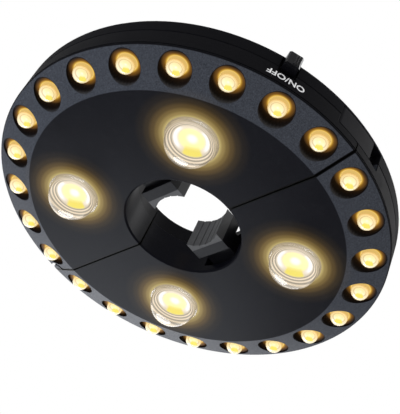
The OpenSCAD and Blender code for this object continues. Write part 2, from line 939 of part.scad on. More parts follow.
module jaw_spring(side) {
  scale([1, side, 1]) centred() translate([0, 0, stem_z + stem_h / 2]) rotate([-90, 0, 0])
    coil(spring_coil_r, spring_coil_r, spring_pocket_y + 0.05, seat_y - 0.05,
         spring_turns, spring_wire_d);
}

module jaw_spring_a() {
  color([0.7, 0.7, 0.72]) jaw_spring(A);
}

module jaw_spring_b() {
  color([0.7, 0.7, 0.72]) jaw_spring(B);
}

// ---------------------------------------------------------------- batteries

row_y = [bay_y + cell_gap / 2 + cell_r, bay_y + bay_w - cell_gap / 2 - cell_r];
row_z = bay_z + 0.1 + cell_r;
row_sign = [1, -1];

// one cell along +X, its flat end at the origin
module cell() {
  nub_r = cell_d * 0.19;
  nub_l = 1.3;
  rotate([0, 90, 0]) {
    cylinder(r = cell_r, h = cell_l - nub_l);
    cylinder(r = nub_r, h = cell_l);
  }
}

// moves its children to a row of cells, pointing the way the row runs
module each_row() {
  for (i = [0, 1]) translate([0, row_y[i], row_z]) rotate([0, 0, row_sign[i] > 0 ? 0 : 180]) children();
}

module battery_cells() {
  start = bay_x - plate_t - 2 * cell_l - cell_touch;
  color([0.7, 0.55, 0.25]) centred() each_row() for (k = [0, 1])
    translate([start + k * (cell_l + cell_touch), 0, 0]) cell();
}

module battery_plates() {
  size = cell_d * 0.38;
  color([0.75, 0.75, 0.75]) centred() each_row() for (s = [-1, 1])
    block([s > 0 ? bay_x - plate_t : -bay_x, -size, -cell_r],
          [s > 0 ? bay_x : -bay_x + plate_t, size, size]);
}

module battery_springs() {
  color([0.75, 0.75, 0.75]) centred() each_row()
    translate([-bay_x + plate_t, 0, 0]) rotate([0, 90, 0])
      coil(cell_d * 0.33, cell_d * 0.2, 0.02, contact_room - plate_t / 2 - 0.3, 3, 0.7);
}

module battery_door() {
  y1 = bay_y + bay_w + door_lap;
  x1 = bay_x + door_lap;
  color([0.15, 0.15, 0.16]) centred() {
    block([-x1, door_axis_y, body_h - door_t], [x1, y1, body_h]);
    translate([-x1, door_axis_y, door_axis_z]) rotate([0, 90, 0]) cylinder(r = door_roll_r, h = 2 * x1);
    translate([-x1 - trunnion_l, door_axis_y, door_axis_z]) rotate([0, 90, 0])
      cylinder(r = trunnion_r, h = 2 * (x1 + trunnion_l));
    // grip bars beside the free edge
    for (k = [0 : 2]) block([-9, y1 - 4 - 2.4 * k, body_h - eps], [9, y1 - 3 - 2.4 * k, body_h + 0.5]);
  }
}

// ---------------------------------------------------------------- hanging hooks

module hang_hook(side) {
  centred() hook_frame(side) difference() {
    union() {
      translate([0, 0, hook_z]) linear_extrude(hook_t) {
        difference() {
          translate([hook_ring, 0]) circle(hook_r);
          translate([hook_ring, 0]) circle(hook_r - hook_w);
          translate([hook_ring, 0]) rotate(hook_mouth_at - hook_mouth / 2) intersection() {
            wedge(0, hook_mouth);
            circle(2 * hook_r);
          }
        }
        translate([hook_in, -hook_w * 0.75]) square([hook_ring - hook_r + hook_w / 2 - hook_in, hook_w * 1.5]);
      }
      translate([hook_in, hook_roll_w / 2, hook_z + hook_roll_r]) rotate([90, 0, 0])
        cylinder(r = hook_roll_r, h = hook_roll_w);
    }
    translate([hook_in, hook_roll_w, hook_z + hook_roll_r]) rotate([90, 0, 0])
      cylinder(r = hook_pin_r + run_gap, h = 2 * hook_roll_w);
  }
}

module hang_hook_a() {
  color([0.13, 0.13, 0.14]) hang_hook(A);
}

module hang_hook_b() {
  color([0.13, 0.13, 0.14]) hang_hook(B);
}

module hook_pin(side) {
  l = hook_recess_w + 2 * hook_wall - 0.8;
  centred() hook_frame(side) translate([hook_in, l / 2, hook_z + hook_roll_r]) rotate([90, 0, 0])
    cylinder(r = hook_pin_r, h = l);
}

module hook_pin_a() {
  color([0.7, 0.7, 0.72]) hook_pin(A);
}

module hook_pin_b() {
  color([0.7, 0.7, 0.72]) hook_pin(B);
}

// ---------------------------------------------------------------- screws

module screws(side) {
  head_z = body_h - screw_sink - screw_head_h;
  slot_w = 0.6;
  centred() each_screw(side) difference() {
    union() {
      translate([0, 0, head_z]) cylinder(r = screw_head_r, h = screw_head_h);
      translate([0, 0, seam_h - screw_reach + 1]) cylinder(r = screw_r, h = head_z - seam_h + screw_reach);
    }
    for (a = [0, 90]) rotate([0, 0, a]) block([-1.5, -slot_w / 2, head_z + 0.6], [1.5, slot_w / 2, body_h]);
  }
}

module screws_a() {
  color([0.35, 0.35, 0.37]) screws(A);
}

module screws_b() {
  color([0.35, 0.35, 0.37]) screws(B);
}

// ---------------------------------------------------------------- what is drawn

face_shell_a();
face_shell_b();
back_cover_a();
back_cover_b();
spot_lenses_a();
spot_lenses_b();
spot_board_a();
spot_board_b();
flood_lenses_a();
flood_lenses_b();
flood_reflectors_a();
flood_reflectors_b();
flood_boards_a();
flood_boards_b();
control_board();
button_switch();
power_button();
latch_tab();
latch_pin();
catch_tongue();
hinge_pin();
clamp_jaw_a();
clamp_jaw_b();
jaw_pad_a();
jaw_pad_b();
jaw_spring_a();
jaw_spring_b();
battery_door();
battery_cells();
battery_plates();
battery_springs();
hang_hook_a();
hang_hook_b();
hook_pin_a();
hook_pin_b();
screws_a();
screws_b();
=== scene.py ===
# %% [markdown]
# # A clamp-on patio light
# The real object is a flat round lamp in two black plastic halves that close on each other like a ring.
# Its underside carries a circle of small spot lamps, four large lamps and a sprung clamp in the middle.
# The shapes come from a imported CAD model. This lesson gives that model its looks: moulded plastic,
# lit lenses, springs, cells and printed words, then a studio and a camera that looks up at it.

# %% Load the fixed frame
import bpy
import bmesh
import math
from mathutils import Matrix, Vector


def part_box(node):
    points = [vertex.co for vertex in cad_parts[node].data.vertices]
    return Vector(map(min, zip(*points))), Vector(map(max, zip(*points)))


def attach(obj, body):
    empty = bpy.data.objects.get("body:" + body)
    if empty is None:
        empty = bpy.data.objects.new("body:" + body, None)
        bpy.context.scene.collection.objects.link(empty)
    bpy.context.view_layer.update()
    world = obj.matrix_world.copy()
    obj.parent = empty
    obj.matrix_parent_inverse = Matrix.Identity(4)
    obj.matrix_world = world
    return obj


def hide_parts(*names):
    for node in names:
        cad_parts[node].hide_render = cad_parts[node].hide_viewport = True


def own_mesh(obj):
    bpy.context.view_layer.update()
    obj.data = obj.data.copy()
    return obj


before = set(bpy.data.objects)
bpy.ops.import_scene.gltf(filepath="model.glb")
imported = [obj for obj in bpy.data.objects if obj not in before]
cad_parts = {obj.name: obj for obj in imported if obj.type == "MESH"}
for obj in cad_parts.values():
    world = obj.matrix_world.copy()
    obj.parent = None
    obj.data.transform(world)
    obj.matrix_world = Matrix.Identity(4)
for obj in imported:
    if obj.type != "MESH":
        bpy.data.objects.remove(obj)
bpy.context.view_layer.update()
scene = bpy.context.scene
print("nodes:", len(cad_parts))

# %% [markdown]
# ## Sizes
# Every new piece has to sit on the CAD piece that carries it, so its place is read from the frame.
# Lengths are in metres. The lamps face down, along -Z, and the light lies level round the Z axis.

# %% Read the places that other pieces are built from
MM = 0.001
shell_low, shell_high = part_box("face_shell_a")
cover_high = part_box("back_cover_a")[1]
FACE_Z = shell_low.z
SEAM_Z = shell_high.z
BACK_Z = cover_high.z
RIM_R = shell_high.x
print(f"rim radius {RIM_R / MM:.1f} mm, face at {FACE_Z / MM:.1f} mm, back at {BACK_Z / MM:.1f} mm")

# %% [markdown]
# ## The camera
# The photograph was taken from below, looking up at the lamps, with the picture turned a little.
# A camera is easiest to place by the point it looks at, its direction and distance, and a roll about
# its own line of sight. A long lens keeps the round outline from looking stretched.

# %% Place the camera below the light
AIM = Vector((19.06, -7.55, -14.8)) * MM
AZIMUTH = math.radians(58.41)
ELEVATION = math.radians(-43.05)
ROLL = math.radians(26.21)
DISTANCE = 528.2 * MM

back = Vector((math.sin(AZIMUTH) * math.cos(ELEVATION),
               -math.cos(AZIMUTH) * math.cos(ELEVATION),
               math.sin(ELEVATION)))
level = back.to_track_quat("Z", "Y").to_matrix()
right, up = level.col[0], level.col[1]
picture_right = right * math.cos(ROLL) + up * math.sin(ROLL)
picture_up = up * math.cos(ROLL) - right * math.sin(ROLL)

camera_data = bpy.data.cameras.new("camera")
camera_data.sensor_width = 36
camera_data.lens = 90.4
camera_data.clip_start = 0.01
camera = bpy.data.objects.new("camera", camera_data)
turn = Matrix((picture_right, picture_up, back)).transposed().to_4x4()
camera.matrix_world = Matrix.Translation(AIM + back * DISTANCE) @ turn
scene.collection.objects.link(camera)
scene.camera = camera
print("camera at", [round(v, 3) for v in camera.matrix_world.translation])

# %% [markdown]
# ## Building materials from nodes
# A material is a small graph of nodes. The first helpers make the graph short to write: they start a
# material, plug a value or another node into a socket, add a node with its settings, and do sums.

# %% Helpers that add nodes and do sums
def new_material(name):
    material = bpy.data.materials.new(name)
    material.use_nodes = True
    tree = material.node_tree
    tree.nodes.clear()
    output = tree.nodes.new("ShaderNodeOutputMaterial")
    shader = tree.nodes.new("ShaderNodeBsdfPrincipled")
    tree.links.new(shader.outputs["BSDF"], output.inputs["Surface"])
    return material, tree, shader


def plug(tree, socket, value):
    if isinstance(value, bpy.types.NodeSocket):
        tree.links.new(value, socket)
    elif hasattr(value, "__len__") and socket.type == "RGBA" and len(value) == 3:
        socket.default_value = (*value, 1)
    else:
        socket.default_value = value


def add_node(tree, kind, settings=None, **inputs):
    node = tree.nodes.new("ShaderNode" + kind)
    for key, value in (settings or {}).items():
        setattr(node, key, value)
    for key, value in inputs.items():
        plug(tree, node.inputs[key.replace("_", " ")], value)
    return node


def sum_of(tree, operation, a, b=0.0):
    node = add_node(tree, "Math", {"operation": operation})
    plug(tree, node.inputs[0], a)
    plug(tree, node.inputs[1], b)
    return node.outputs[0]


def product(tree, first, *others):
    for other in others:
        first = sum_of(tree, "MULTIPLY", first, other)
    return first


def length_of(tree, a, b):
    squares = sum_of(tree, "ADD", product(tree, a, a), product(tree, b, b))
    return sum_of(tree, "SQRT", squares)


# %% [markdown]
# The next helpers say where a point is and turn a value into a mask or a colour. A fade is a soft step
# from 0 to 1 between two values. A spread stretches a noise between two levels. A ramp looks a colour
# up, and shades mix a darker and a paler tone of one colour, because no real surface is all one tone.

# %% Helpers for places, masks and colours
def object_place(tree):
    return add_node(tree, "TexCoord").outputs["Object"]


def axes_of(tree, place):
    parts = add_node(tree, "SeparateXYZ", Vector=place)
    return parts.outputs["X"], parts.outputs["Y"], parts.outputs["Z"]


def noise(tree, place, scale, detail=2.0, roughness=0.5):
    node = add_node(tree, "TexNoise", Vector=place, Scale=scale, Detail=detail, Roughness=roughness)
    return node.outputs["Fac"]


def fade(tree, value, start, end):
    node = add_node(tree, "MapRange", {"interpolation_type": "SMOOTHSTEP"}, Value=value)
    node.inputs["From Min"].default_value = start
    node.inputs["From Max"].default_value = end
    return node.outputs[0]


def spread(tree, value, low, high):
    node = add_node(tree, "MapRange", Value=value)
    node.inputs["To Min"].default_value = low
    node.inputs["To Max"].default_value = high
    return node.outputs[0]


def ramp(tree, value, stops):
    node = add_node(tree, "ValToRGB", Fac=value)
    node.color_ramp.interpolation = "EASE"
    node.color_ramp.elements[0].position = stops[0][0]
    node.color_ramp.elements[1].position = stops[-1][0]
    node.color_ramp.elements[0].color = (*stops[0][1], 1)
    node.color_ramp.elements[1].color = (*stops[-1][1], 1)
    for position, colour in stops[1:-1]:
        node.color_ramp.elements.new(position).color = (*colour, 1)
    return node.outputs["Color"]


def mix_colours(tree, share, first, second, blend="MIX"):
    node = add_node(tree, "Mix", {"data_type": "RGBA", "blend_type": blend})
    plug(tree, node.inputs[0], share)
    plug(tree, node.inputs[6], first)
    plug(tree, node.inputs[7], second)
    return node.outputs[2]


def grey(level):
    return (level, level, level)


def shades(tree, share, colour, darkest, palest):
    return mix_colours(tree, share, [c * darkest for c in colour], [min(1, c * palest) for c in colour])


# %% [markdown]
# The last helper roughens the skin. A bump only tilts the light, so it suits scratches and grain that
# are too fine for a mesh. A bevel node under it rounds the sharp CAD edges in the shading, which is how
# a real moulding catches a line of light.

# %% A helper for bumps
EDGE_ROUNDING = 0.3 * MM


def raise_bumps(tree, shader, height, strength, depth, round_edges=False):
    bump = add_node(tree, "Bump", Strength=strength, Distance=depth, Height=height)
    if round_edges:
        bevel = add_node(tree, "Bevel", {"samples": 4}, Radius=EDGE_ROUNDING)
        plug(tree, bump.inputs["Normal"], bevel.outputs[0])
    plug(tree, shader.inputs["Normal"], bump.outputs[0])


# %% [markdown]
# ## Moulded plastic
# The housing is black ABS from a spark-eroded mould, so its skin is a very fine even grain, and it
# holds some pale dust. One noise pattern gives the grain, a slower one varies tone and gloss, and a
# third lays the dust. Three optional functions can change the tone by place, add a glow and make a part
# of the surface more matt, so every moulded piece comes from this one recipe.

# %% A function for every moulded piece
DUST_COLOUR = (0.16, 0.16, 0.165)
DUST_COVER = 0.05
DUST_ROUGHENS_BY = 0.4
GLOSSIER_BY, DULLER_BY = 0.05, 0.07
MATTER_BY = 0.35


def moulded_plastic(name, colour, dullness=0.42, grain_size=0.45 * MM, grain_strength=0.3,
                    dust=0.25, shine=0.16, tone=None, glow=None, matter=None):
    material, tree, shader = new_material(name)
    place = object_place(tree)
    grain = noise(tree, place, scale=1 / grain_size, detail=3.0, roughness=0.6)
    clouds = noise(tree, place, scale=28.0, detail=4.0, roughness=0.6)
    marks = noise(tree, place, scale=190.0, detail=5.0, roughness=0.7)
    dusty = ramp(tree, marks, [(0.5, grey(0)), (0.78, grey(dust))])
    pits = ramp(tree, grain, [(0.35, grey(0)), (0.7, grey(0.55))])

    shade = shades(tree, clouds, colour, 0.8, 1.25)
    if tone is not None:
        shade = tone(tree, place, shade)
    speckled = mix_colours(tree, pits, shade, grey(0))
    dusted = mix_colours(tree, product(tree, dusty, DUST_COVER), speckled, DUST_COLOUR)
    plug(tree, shader.inputs["Base Color"], dusted)

    clean = spread(tree, clouds, dullness - GLOSSIER_BY, dullness + DULLER_BY)
    roughness = sum_of(tree, "ADD", clean, product(tree, dusty, DUST_ROUGHENS_BY))
    if matter is not None:
        roughness = sum_of(tree, "ADD", roughness, product(tree, matter(tree, place), MATTER_BY))
    plug(tree, shader.inputs["Roughness"], roughness)
    shader.inputs["Specular IOR Level"].default_value = shine

    if glow is not None:
        plug(tree, shader.inputs["Emission Color"], glow(tree, place))
        shader.inputs["Emission Strength"].default_value = 1.0
    raise_bumps(tree, shader, grain, grain_strength, 0.1 * MM, round_edges=True)
    return material


# %% [markdown]
# ## Metal
# Pins, screws, springs and contacts are drawn or plated steel. Drawn wire shows fine scratches along
# its length, and plating is brighter and smoother. Noise that is stretched along one axis makes the
# scratches, and an even one makes the plated skins.

# %% A function for every metal piece, and one that dresses a CAD node
EVEN = (1, 1, 1)


def worn_metal(name, colour, roughness=0.3, stretch=(1, 1, 0.05), scratch=0.15):
    material, tree, shader = new_material(name)
    place = object_place(tree)
    stretched = add_node(tree, "Mapping", Vector=place, Scale=stretch)
    lines = noise(tree, stretched.outputs[0], scale=2600.0)
    tarnish = noise(tree, place, scale=320.0, detail=4.0)
    plug(tree, shader.inputs["Base Color"], shades(tree, tarnish, colour, 0.78, 1.08))
    plug(tree, shader.inputs["Roughness"], spread(tree, lines, roughness - 0.08, roughness + 0.12))
    shader.inputs["Metallic"].default_value = 1.0
    raise_bumps(tree, shader, lines, scratch, 0.05 * MM)
    return material


def dress(material, *names):
    for name in names:
        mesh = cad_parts[name].data
        mesh.materials.clear()
        mesh.materials.append(material)
    print(f"{material.name}: {', '.join(names)}")


# %% [markdown]
# ## Where the lamps are
# Two finishes of the housing depend on how far a point is from its nearest lamp. The lamps stand on
# two circles, evenly spaced, so the angle round the circle is folded into one lamp's share of it. What
# is left is how far a point lies beyond that one lamp and beside it.

# %% How far a point lies from the nearest lamp of a circle
SPOT_COUNT, SPOT_PITCH_R = 24, 97.9 * MM
FLOOD_COUNT, FLOOD_PITCH_R = 4, 61.4 * MM


def distance_to_lamp(tree, place, count, pitch_radius):
    x, y, _ = axes_of(tree, place)
    share = math.tau / count
    turns = sum_of(tree, "DIVIDE", sum_of(tree, "ARCTAN2", y, x), share)
    off = product(tree, sum_of(tree, "SUBTRACT", sum_of(tree, "FRACT", turns), 0.5), share)
    radius = length_of(tree, x, y)
    along = product(tree, radius, sum_of(tree, "COSINE", off))
    ahead = sum_of(tree, "SUBTRACT", along, pitch_radius)
    aside = product(tree, radius, sum_of(tree, "SINE", off))
    return length_of(tree, ahead, aside)


# %% [markdown]
# ## Glow on the housing
# The lamps are lit, so the housing round them glows: a warm ring on the face round each large lamp, and
# amber inside the well of each small one. A real lamp throws that light from inside its lens, which
# takes a path tracer a very long time. The glow depends only on the distance to the nearest lamp, so it
# is mapped to a colour, and the surface gives it off.

# %% Warm rings round the large lamps
FLOOD_GLOW_REACH = 32 * MM
WARM_RING = [(0.42, (0.6, 0.48, 0.19)), (0.5, (0.3, 0.215, 0.07)), (0.56, (0.175, 0.116, 0.033)),
             (0.625, (0.09, 0.056, 0.015)), (0.72, (0.031, 0.02, 0.006)), (0.82, (0.009, 0.006, 0.002)),
             (0.95, grey(0))]


def warm_ring(tree, place):
    away = distance_to_lamp(tree, place, FLOOD_COUNT, FLOOD_PITCH_R)
    return ramp(tree, sum_of(tree, "DIVIDE", away, FLOOD_GLOW_REACH), WARM_RING)


# %% [markdown]
# The wells are cut into a band that slopes up from a crease to the rim. The amber may not spill on the
# band between them, so it starts only a little deeper than the band's own surface.

# %% Amber in the small lamps' wells
CREASE_R, BAND_SLOPE = 87.3 * MM, 8.2 / 20.7
SPOT_GLOW_REACH = 10 * MM
AMBER_START, AMBER_FULL = 0.3 * MM, 1.8 * MM
AMBER = [(0.48, (1, 0.74, 0.27)), (0.52, (0.82, 0.52, 0.1)), (0.56, (0.52, 0.28, 0.035)),
         (0.6, (0.29, 0.14, 0.015)), (0.65, (0.17, 0.075, 0.01)), (0.71, (0.12, 0.054, 0.008)),
         (0.78, (0.055, 0.026, 0.006)), (0.84, grey(0))]


def amber_well(tree, place):
    away = distance_to_lamp(tree, place, SPOT_COUNT, SPOT_PITCH_R)
    amber = ramp(tree, sum_of(tree, "DIVIDE", away, SPOT_GLOW_REACH), AMBER)
    x, y, z = axes_of(tree, place)
    band_rise = product(tree, sum_of(tree, "SUBTRACT", length_of(tree, x, y), CREASE_R), BAND_SLOPE)
    under_band = sum_of(tree, "SUBTRACT", sum_of(tree, "SUBTRACT", z, FACE_Z), band_rise)
    return mix_colours(tree, fade(tree, under_band, AMBER_START, AMBER_FULL), grey(0), amber)


# %% [markdown]
# Both glows are added. They end well below the seam, so that the upper part of the housing stays dark.

# %% Add the two glows
GLOW_END_Z = SEAM_Z - 8 * MM


def lamp_glow(tree, place):
    both = mix_colours(tree, 1.0, warm_ring(tree, place), amber_well(tree, place), blend="ADD")
    z = axes_of(tree, place)[2]
    return mix_colours(tree, sum_of(tree, "LESS_THAN", z, GLOW_END_Z), grey(0), both)


# %% [markdown]
# ## Tone of the housing
# A face shell is one moulding, but it shows four tones: a near-black matte disc, a paler band with a
# coarse grain, a rim wall, and a dark line where the halves part. The band's paler tone is partly its own
# finish and partly painted sheen, and the dark line is painted shade along the seam. Masks paint them,
# each worked out from a point's own place. The wall is also rougher, because at a slant a smooth black
# wall mirrors its bright surroundings and turns grey.

# %% Tones and masks of the face shells
BLACK = (0.0048, 0.005, 0.0078)
WALL = (0.0055, 0.0055, 0.007)
# Band tones: paler than the disc, partly for the band's own coarse finish and partly as painted sheen.
BAND_DARK, BAND_PALE = (0.028, 0.032, 0.042), (0.082, 0.088, 0.105)
# Colour of the painted shade along the seam, where the gap between the halves lies in shade.
SPLIT_PAINTED_SHADE = grey(0.0015)
CREASE_SOFTNESS = 0.3 * MM
BAND_FULL_R, BAND_END_R = RIM_R - 0.7 * MM, RIM_R - 0.3 * MM
WALL_START_R, WALL_FULL_R = RIM_R - 0.6 * MM, RIM_R - 0.3 * MM
WELL_EDGE_START, WELL_EDGE_END = 8.4 * MM, 8.7 * MM
# Widths of the painted seam shade: full within the first, gone past the second.
SPLIT_DARK, SPLIT_SHADE_END = 0.8 * MM, 1.1 * MM


def on_rim_wall(tree, place):
    x, y, _ = axes_of(tree, place)
    return fade(tree, length_of(tree, x, y), WALL_START_R, WALL_FULL_R)


def on_band(tree, place):
    x, y, _ = axes_of(tree, place)
    radius = length_of(tree, x, y)
    past_crease = fade(tree, radius, CREASE_R - CREASE_SOFTNESS, CREASE_R + CREASE_SOFTNESS)
    before_rim = fade(tree, radius, BAND_END_R, BAND_FULL_R)
    away = distance_to_lamp(tree, place, SPOT_COUNT, SPOT_PITCH_R)
    return product(tree, fade(tree, away, WELL_EDGE_START, WELL_EDGE_END), past_crease, before_rim)


def shell_tone(tree, place, shade):
    walled = mix_colours(tree, on_rim_wall(tree, place), shade, WALL)
    coarse = noise(tree, place, scale=900.0, detail=3.0, roughness=0.6)
    # The band's paler tone: partly its own coarse finish, partly painted sheen.
    band = mix_colours(tree, coarse, BAND_DARK, BAND_PALE)
    whole = mix_colours(tree, on_band(tree, place), walled, band)
    # Painted shade: a dark line along the seam, where the gap between the halves lies in shade.
    y = axes_of(tree, place)[1]
    off_split_shade = fade(tree, sum_of(tree, "ABSOLUTE", y), SPLIT_DARK, SPLIT_SHADE_END)
    return mix_colours(tree, off_split_shade, SPLIT_PAINTED_SHADE, whole)


# %% [markdown]
# The back covers are the same plastic with a finer skin. Their sides are as dark as the rim wall that
# they continue, and their flat top is a little paler. It is told from the sides by its height.

# %% Tone of the back covers
BACK_TONE = (0.02, 0.02, 0.0225)
BACK_EDGE_LOW, BACK_EDGE_HIGH = BACK_Z - 1.2 * MM, BACK_Z - 0.6 * MM


def back_tone(tree, place, shade):
    z = axes_of(tree, place)[2]
    return mix_colours(tree, fade(tree, z, BACK_EDGE_LOW, BACK_EDGE_HIGH), shade, BACK_TONE)


# %% [markdown]
# ## Four plastics from one recipe
# The shells have the coarsest grain and the glow, and the covers a finer skin. The trim, which is the
# latch, the jaws and the hooks, is smoother still, and the button, which fingers polish, is the
# smoothest.

# %% The housing's plastics
shell_plastic = moulded_plastic("shell plastic", BLACK, dullness=0.3, grain_size=0.42 * MM,
                                grain_strength=0.36, shine=0.03, tone=shell_tone, glow=lamp_glow,
                                matter=on_rim_wall)
cover_plastic = moulded_plastic("cover plastic", WALL, dullness=0.34, grain_size=0.36 * MM,
                                grain_strength=0.18, shine=0.025, tone=back_tone, matter=on_rim_wall)
trim_plastic = moulded_plastic("trim plastic", [c * 1.3 for c in WALL], dullness=0.3,
                               grain_size=0.3 * MM, grain_strength=0.12, dust=0.15, shine=0.05,
                               matter=on_rim_wall)
button_plastic = moulded_plastic("button plastic", WALL, dullness=0.24, grain_size=0.3 * MM,
                                 grain_strength=0.06, dust=0.1, shine=0.1)
dress(shell_plastic, "face_shell_a", "face_shell_b")
dress(cover_plastic, "back_cover_a", "back_cover_b", "battery_door")
dress(trim_plastic, "latch_tab", "catch_tongue", "clamp_jaw_a", "clamp_jaw_b", "hang_hook_a", "hang_hook_b")
dress(button_plastic, "power_button")

# %% [markdown]
# ## Metal pieces
# Pins are drawn and keep their scratches lengthwise. Springs and screws are plated or blackened evenly.
# The contact plates are brushed in one direction, and the reflectors behind the large lamps are coated
# so smoothly that hardly a scratch is left.

# %% Metal pieces
pin_steel = worn_metal("drawn pin steel", (0.6, 0.6, 0.62))
spring_steel = worn_metal("spring steel", (0.52, 0.53, 0.55), roughness=0.25, stretch=EVEN)
black_steel = worn_metal("blackened screw steel", (0.16, 0.16, 0.17), roughness=0.38, stretch=EVEN)
nickel = worn_metal("nickel contact plate", (0.72, 0.7, 0.66), roughness=0.22, stretch=(0.05, 1, 1))
mirror_coat = worn_metal("vacuum metal coat", (0.86, 0.86, 0.87), roughness=0.12, stretch=EVEN,
                         scratch=0.03)
dress(pin_steel, "latch_pin", "hinge_pin", "hook_pin_a", "hook_pin_b")
dress(spring_steel, "battery_springs")
dress(black_steel, "screws_a", "screws_b")
dress(nickel, "battery_plates")
dress(mirror_coat, "flood_reflectors_a", "flood_reflectors_b")

# %% [markdown]
# ## Pieces that take a CAD node's place
# Springs and lenses are made anew, as forms of joined points, edges and faces. A form becomes a mesh
# with its materials, is smooth except at sharp edges, rides on the body that carries it, and hides the
# CAD node that it stands for.

# %% Make a piece of a form
def place_piece(name, form, materials, sharp_degrees, body, node):
    bmesh.ops.recalc_face_normals(form, faces=form.faces)
    for face in form.faces:
        face.smooth = True
    open_edges = sum(1 for edge in form.edges if len(edge.link_faces) != 2)
    mesh = bpy.data.meshes.new(name)
    form.to_mesh(mesh)
    form.free()
    mesh.set_sharp_from_angle(angle=math.radians(sharp_degrees))
    for material in materials:
        mesh.materials.append(material)
    piece = bpy.data.objects.new(name, mesh)
    scene.collection.objects.link(piece)
    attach(piece, body)
    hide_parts(node)
    print(f"{name}: {len(mesh.polygons)} faces, {open_edges} open edges")
    return piece


# %% [markdown]
# ## Jaw springs
# A coil spring pushes each jaw towards the middle of the clamp. Its wire is a small circle that goes
# round an axis and along it at the same time, which the spin operator does when every step also shifts.
# The first and the last turn lie close together, as on a real compression spring, so that its ends sit
# flat.

# %% Wind a wire
WIRE_R = 0.4 * MM
WIRE_SIDES = 10
END_TURNS, OPEN_TURNS, TURN_STEPS = 1, 5, 32
END_RISE = 2.04 * WIRE_R


def wound_wire(middle, coil_x, start_y, length, outwards):
    form = bmesh.new()
    bmesh.ops.create_circle(form, cap_ends=True, segments=WIRE_SIDES, radius=WIRE_R)
    bmesh.ops.translate(form, verts=form.verts, vec=(coil_x, start_y + outwards * WIRE_R, middle.z))
    end = form.verts[:] + form.edges[:] + form.faces[:]
    open_rise = (length - 2 * WIRE_R - 2 * END_TURNS * END_RISE) / OPEN_TURNS
    for turns, rise in ((END_TURNS, END_RISE), (OPEN_TURNS, open_rise), (END_TURNS, END_RISE)):
        wound = bmesh.ops.spin(form, geom=end, cent=middle, axis=(0, 1, 0), angle=math.tau * turns,
                               dvec=(0, outwards * rise / TURN_STEPS, 0), steps=turns * TURN_STEPS)
        end = wound["geom_last"]
    return form


# %% [markdown]
# A spring shortens when its jaw is pushed back. Here each spring is wound at full length behind its jaw
# and gets a mesh of its own; nothing in this script squashes it.

# %% A spring behind each jaw
SPRING_SHARP_DEGREES = 50


def wind_spring(name, node, body, outwards):
    low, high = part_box(node)
    middle, length = (low + high) / 2, high.y - low.y
    jaw_end = middle.y - outwards * length / 2
    form = wound_wire(middle, high.x - WIRE_R, jaw_end, length, outwards)
    spring = place_piece(name, form, [spring_steel], SPRING_SHARP_DEGREES, body, node)
    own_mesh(spring)


wind_spring("wound_jaw_spring_a", "jaw_spring_a", "half_a", -1)
wind_spring("wound_jaw_spring_b", "jaw_spring_b", "half_b", 1)

# %% [markdown]
# ## Rubber jaw pads
# The pads on the jaws are soft rubber, paler and duller than the housing, with a bloom of powder.
# Rubber needs hardly any shine and a soft low bump.

# %% Rubber
def soft_rubber(name, colour):
    material, tree, shader = new_material(name)
    place = object_place(tree)
    bloom = noise(tree, place, scale=260.0, detail=5.0, roughness=0.65)
    fine = noise(tree, place, scale=2400.0)
    plug(tree, shader.inputs["Base Color"], shades(tree, bloom, colour, 0.75, 1.35))
    plug(tree, shader.inputs["Roughness"], spread(tree, bloom, 0.62, 0.8))
    shader.inputs["Specular IOR Level"].default_value = 0.25
    raise_bumps(tree, shader, fine, 0.3, 0.08 * MM, round_edges=True)
    return material


dress(soft_rubber("jaw pad rubber", (0.06, 0.06, 0.062)), "jaw_pad_a", "jaw_pad_b")

# %% [markdown]
# ## Circuit boards
# The boards behind the lamps hide inside the housing, but whoever takes the model apart sees them, so
# they get their finish too: green solder mask with the weave of the glass cloth under it, and a white
# one on the boards of the large lamps, which throws more light forward.

# %% Solder mask
def solder_mask(name, colour):
    material, tree, shader = new_material(name)
    place = object_place(tree)
    threads = [add_node(tree, "TexWave", {"bands_direction": axis}, Vector=place, Scale=260.0,
                        Distortion=0.3).outputs["Fac"] for axis in ("X", "Y")]
    cloth = sum_of(tree, "MAXIMUM", *threads)
    stained = shades(tree, noise(tree, place, scale=60.0, detail=3.0), colour, 0.8, 1.15)
    paler = [min(1, c * 1.6) for c in colour]
    plug(tree, shader.inputs["Base Color"], mix_colours(tree, product(tree, cloth, 0.25), stained, paler))
    shader.inputs["Roughness"].default_value = 0.3
    raise_bumps(tree, shader, cloth, 0.06, 0.05 * MM)
    return material


dress(solder_mask("green solder mask", (0.02, 0.13, 0.05)), "spot_board_a", "spot_board_b", "control_board")
dress(solder_mask("white solder mask", (0.72, 0.72, 0.68)), "flood_boards_a", "flood_boards_b")
dress(moulded_plastic("switch body plastic", (0.02, 0.02, 0.02), dullness=0.3), "button_switch")

# %% [markdown]
# ## Cells
# Each cell wears a plain printed sleeve, dark with a copper-coloured band at its button end. The colour
# depends on how far along its cell a point is. Two cells lie end to end in each of two rows, and the
# rows point opposite ways, so one row's distance is turned round before it is cut into cells.

# %% A plain cell sleeve
SLEEVE_DARK, SLEEVE_COPPER, CELL_END = (0.03, 0.04, 0.07), (0.55, 0.27, 0.1), grey(0.5)
SLEEVE = [(0.0, CELL_END), (0.02, SLEEVE_DARK), (0.66, SLEEVE_DARK), (0.68, SLEEVE_COPPER),
          (0.96, SLEEVE_COPPER), (0.975, grey(0.6))]


